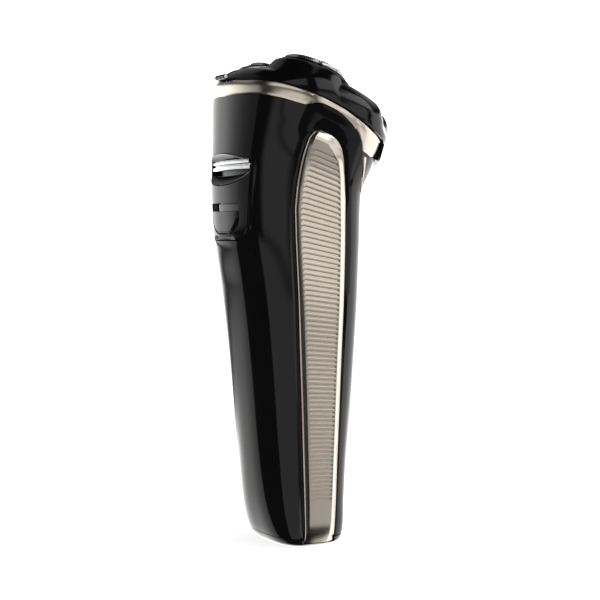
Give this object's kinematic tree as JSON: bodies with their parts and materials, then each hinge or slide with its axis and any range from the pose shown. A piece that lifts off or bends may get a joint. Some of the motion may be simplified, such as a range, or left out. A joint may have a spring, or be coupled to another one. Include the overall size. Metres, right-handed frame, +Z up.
{
  "type": "electric shaver",
  "caption": "Rotary electric shaver: tapered handle, tilted flip-open head with floating shaving caps, bronze side grips and a pop-out trimmer at the back.",
  "frame": {"origin": "on the base face, on the centre line of the handle where it stands", "axes": "+Z up the handle to the shaving head, -Y to the front with the power button, +Y to the back with the trimmer, X across"},
  "size_m": [0.056, 0.0612, 0.16],
  "materials": {
    "gloss_black": "high-gloss injection-moulded plastic",
    "bronze_satin": "champagne bronze metallised satin",
    "shaving_steel": "ground stainless steel",
    "chrome": "bright plated",
    "fastener_steel": "zinc plated",
    "dark_plastic": "fine matt moulded",
    "white_plastic": "natural moulded",
    "copper_winding": "lacquered wire",
    "battery_wrap": "shrink wrap",
    "board_green": "solder mask",
    "light_lens": "clear diffuser"
  },
  "bodies": {
    "handle": {"rear_shell": "gloss_black", "front_fascia": "gloss_black", "side_grip_left": "bronze_satin", "side_grip_right": "bronze_satin", "collar": "bronze_satin", "base_plate": "gloss_black", "base_screws": "fastener_steel", "inlet_housing": "dark_plastic", "inlet_pins": "fastener_steel", "button_bezel": "chrome", "charge_light": "light_lens", "release_guide": "dark_plastic", "hinge_leaf_body": "gloss_black", "head_hinge_pin": "fastener_steel", "gear_axles": "fastener_steel", "gear_tray": "dark_plastic", "gear_deck": "dark_plastic", "deck_screws": "fastener_steel", "motor_can": "fastener_steel", "motor_end_cap": "dark_plastic", "battery_cell": "battery_wrap", "battery_tabs": "fastener_steel", "inner_frame": "white_plastic", "circuit_board": "board_green", "board_parts": "dark_plastic", "power_switch": "dark_plastic", "trimmer_hinge_ears": "gloss_black", "trimmer_hinge_pin": "fastener_steel", "trimmer_pocket": "dark_plastic", "trimmer_lever_pin": "fastener_steel"},
    "shaving_head": {"head_cover": "gloss_black", "hinge_leaf_cover": "gloss_black", "cutter_frame": "dark_plastic"},
    "lock_knob": {"frame_lock_knob": "white_plastic"},
    "power_button": {"power_button": "gloss_black"},
    "release_button": {"head_release_button": "gloss_black"},
    "motor_armature": {"motor_shaft": "fastener_steel", "motor_rotor": "copper_winding", "motor_pinion": "white_plastic"},
    "trimmer": {"trimmer_flap": "gloss_black", "trimmer_comb": "chrome", "trimmer_hinge_knuckle": "gloss_black"},
    "trimmer_slider": {"trimmer_slider": "gloss_black"},
    "trimmer_blade": {"trimmer_blade": "chrome"},
    "trimmer_lever": {"trimmer_drive_lever": "white_plastic"},
    "cap_1": {"cap_ring_1": "gloss_black", "shaving_cap_1": "shaving_steel"},
    "cutter_1": {"inner_cutter_1": "shaving_steel"},
    "drive_1": {"drive_gear_1": "white_plastic", "drive_spindle_1": "white_plastic"},
    "cap_2": {"cap_ring_2": "gloss_black", "shaving_cap_2": "shaving_steel"},
    "cutter_2": {"inner_cutter_2": "shaving_steel"},
    "drive_2": {"drive_gear_2": "white_plastic", "drive_spindle_2": "white_plastic"},
    "cap_3": {"cap_ring_3": "gloss_black", "shaving_cap_3": "shaving_steel"},
    "cutter_3": {"inner_cutter_3": "shaving_steel"},
    "drive_3": {"drive_gear_3": "white_plastic", "drive_spindle_3": "white_plastic"}
  },
  "joints": [
    {"name": "head_hinge", "type": "hinge", "parent": "handle", "child": "shaving_head", "pos_m": [0, 0.02619, 0.15278], "axis": [-1, 0, 0], "range_deg": [0, 100]},
    {"name": "lock_knob_turn", "type": "hinge", "parent": "shaving_head", "child": "lock_knob", "pos_m": [0, -0.00279, 0.1404], "axis": [0, -0.3665, 0.9304], "range_deg": [0, 90]},
    {"name": "power_button_press", "type": "slide", "parent": "handle", "child": "power_button", "axis": [0, 1, 0], "range_m": [0, 0.0005], "stiffness_N_per_m": 600},
    {"name": "release_button_press", "type": "slide", "parent": "handle", "child": "release_button", "axis": [0, 0.9304, 0.3665], "range_m": [0, 0.0009], "stiffness_N_per_m": 600},
    {"name": "motor_spin", "type": "hinge", "parent": "handle", "child": "motor_armature", "pos_m": [0, -0.00279, 0.1404], "axis": [0, -0.3665, 0.9304], "continuous": true},
    {"name": "trimmer_swing", "type": "hinge", "parent": "handle", "child": "trimmer", "pos_m": [0, 0.0246, 0.1009], "axis": [-1, 0, 0], "range_deg": [0, 60]},
    {"name": "trimmer_slider_press", "type": "slide", "parent": "trimmer", "child": "trimmer_slider", "axis": [0, 0, 1], "range_m": [0, 0.0022], "stiffness_N_per_m": 300},
    {"name": "trimmer_blade_stroke", "type": "slide", "parent": "trimmer", "child": "trimmer_blade", "axis": [1, 0, 0], "range_m": [-0.001, 0.001]},
    {"name": "trimmer_lever_swing", "type": "hinge", "parent": "handle", "child": "trimmer_lever", "pos_m": [0, 0.0198, 0.108], "axis": [0, 1, 0], "range_deg": [-4.5, 4.5]},
    {"name": "cap_1_press", "type": "slide", "parent": "shaving_head", "child": "cap_1", "axis": [0, 0.3665, -0.9304], "range_m": [0, 0.0012], "stiffness_N_per_m": 400},
    {"name": "cutter_1_spin", "type": "hinge", "parent": "cap_1", "child": "cutter_1", "pos_m": [-0.01256, 0.00395, 0.14306], "axis": [0, -0.3665, 0.9304], "continuous": true},
    {"name": "drive_1_spin", "type": "hinge", "parent": "handle", "child": "drive_1", "pos_m": [-0.01256, 0.00395, 0.14306], "axis": [0, -0.3665, 0.9304], "continuous": true},
    {"name": "cap_2_press", "type": "slide", "parent": "shaving_head", "child": "cap_2", "axis": [0, 0.3665, -0.9304], "range_m": [0, 0.0012], "stiffness_N_per_m": 400},
    {"name": "cutter_2_spin", "type": "hinge", "parent": "cap_2", "child": "cutter_2", "pos_m": [0.01256, 0.00395, 0.14306], "axis": [0, -0.3665, 0.9304], "continuous": true},
    {"name": "drive_2_spin", "type": "hinge", "parent": "handle", "child": "drive_2", "pos_m": [0.01256, 0.00395, 0.14306], "axis": [0, -0.3665, 0.9304], "continuous": true},
    {"name": "cap_3_press", "type": "slide", "parent": "shaving_head", "child": "cap_3", "axis": [0, 0.3665, -0.9304], "range_m": [0, 0.0012], "stiffness_N_per_m": 400},
    {"name": "cutter_3_spin", "type": "hinge", "parent": "cap_3", "child": "cutter_3", "pos_m": [0, -0.01628, 0.13509], "axis": [0, -0.3665, 0.9304], "continuous": true},
    {"name": "drive_3_spin", "type": "hinge", "parent": "handle", "child": "drive_3", "pos_m": [0, -0.01628, 0.13509], "axis": [0, -0.3665, 0.9304], "continuous": true}
  ],
  "couplings": [
    {"joint": "trimmer_lever_swing", "follows": "trimmer_blade_stroke", "rad_per_m": 76.92},
    {"joint": "cutter_1_spin", "follows": "motor_spin", "ratio": -0.8125},
    {"joint": "drive_1_spin", "follows": "motor_spin", "ratio": -0.8125},
    {"joint": "cutter_2_spin", "follows": "motor_spin", "ratio": -0.8125},
    {"joint": "drive_2_spin", "follows": "motor_spin", "ratio": -0.8125},
    {"joint": "cutter_3_spin", "follows": "motor_spin", "ratio": -0.8125},
    {"joint": "drive_3_spin", "follows": "motor_spin", "ratio": -0.8125}
  ]
}
